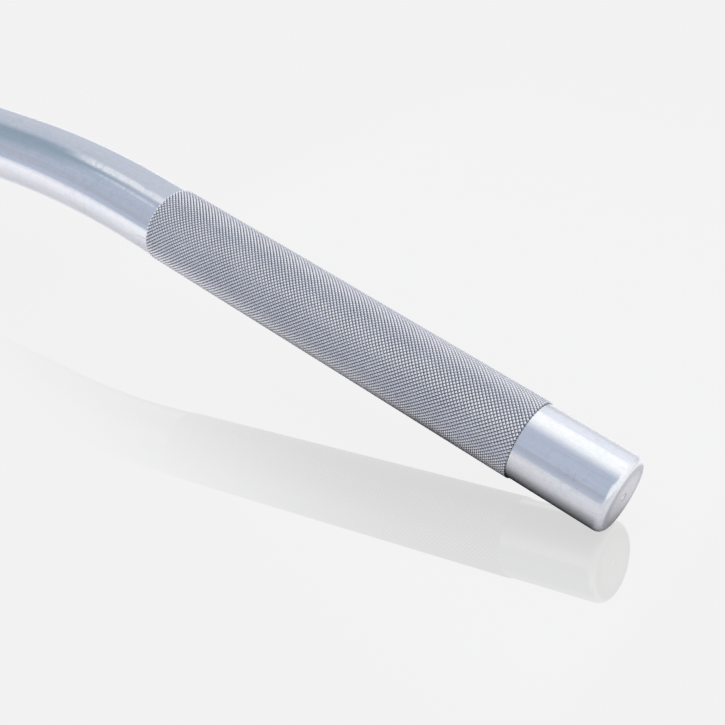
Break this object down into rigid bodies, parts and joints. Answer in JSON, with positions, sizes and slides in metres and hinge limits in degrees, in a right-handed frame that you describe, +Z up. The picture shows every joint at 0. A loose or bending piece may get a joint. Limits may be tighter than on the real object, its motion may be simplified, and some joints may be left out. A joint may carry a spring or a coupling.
{
  "type": "lat pulldown bar",
  "caption": "Wide chromed steel pulldown bar with downswept knurled grips, revolving in a central hub under a swivel eye for a machine's cable.",
  "frame": {"origin": "the point inside the eye's ring where the cable's hook bears, straight above the middle of the bar and on the axis that the eye swivels about", "axes": "+X along the bar towards the right-hand grip, +Z up the cable, +Y towards the side away from the viewer; the grips slope down from the middle"},
  "size_m": [1.2042, 0.0546, 0.1636],
  "materials": {
    "bar_chrome": "bright chrome plate, with a satin rolled diamond knurl on the grips",
    "sleeve_chrome": "bright chrome plate",
    "strap_chrome": "satin chrome plate",
    "eye_chrome": "bright chrome plate over a forging",
    "collar_steel": "turned and satin plated",
    "washer_stainless": "plain stainless",
    "thrust_steel": "ground and hardened",
    "zinc_plate": "zinc plate",
    "screw_black": "black oxide",
    "bush_bronze": "turned bearing bronze",
    "bush_acetal": "machined black acetal"
  },
  "bodies": {
    "eye": {"swivel_eye": "eye_chrome", "castle_nut": "zinc_plate", "cotter_pin": "washer_stainless"},
    "hub": {"hanger_strap": "strap_chrome", "hub_sleeve": "sleeve_chrome", "sleeve_bush_left": "bush_acetal", "sleeve_bush_right": "bush_acetal", "side_washer_left": "washer_stainless", "side_washer_right": "washer_stainless", "swivel_bush": "bush_bronze", "thrust_washer": "thrust_steel", "nut_washer": "zinc_plate"},
    "bar": {"bent_bar": "bar_chrome", "collar_upper_left": "collar_steel", "collar_lower_left": "collar_steel", "collar_upper_right": "collar_steel", "collar_lower_right": "collar_steel", "collar_screw_left_front": "screw_black", "collar_screw_left_rear": "screw_black", "collar_screw_right_front": "screw_black", "collar_screw_right_rear": "screw_black"}
  },
  "joints": [
    {"name": "eye_swivel", "type": "hinge", "parent": "eye", "child": "hub", "pos_m": [0, 0, -0.0395], "axis": [0, 0, 1], "continuous": true},
    {"name": "bar_revolve", "type": "hinge", "parent": "hub", "child": "bar", "pos_m": [0, 0, -0.0925], "axis": [1, 0, 0], "continuous": true}
  ]
}
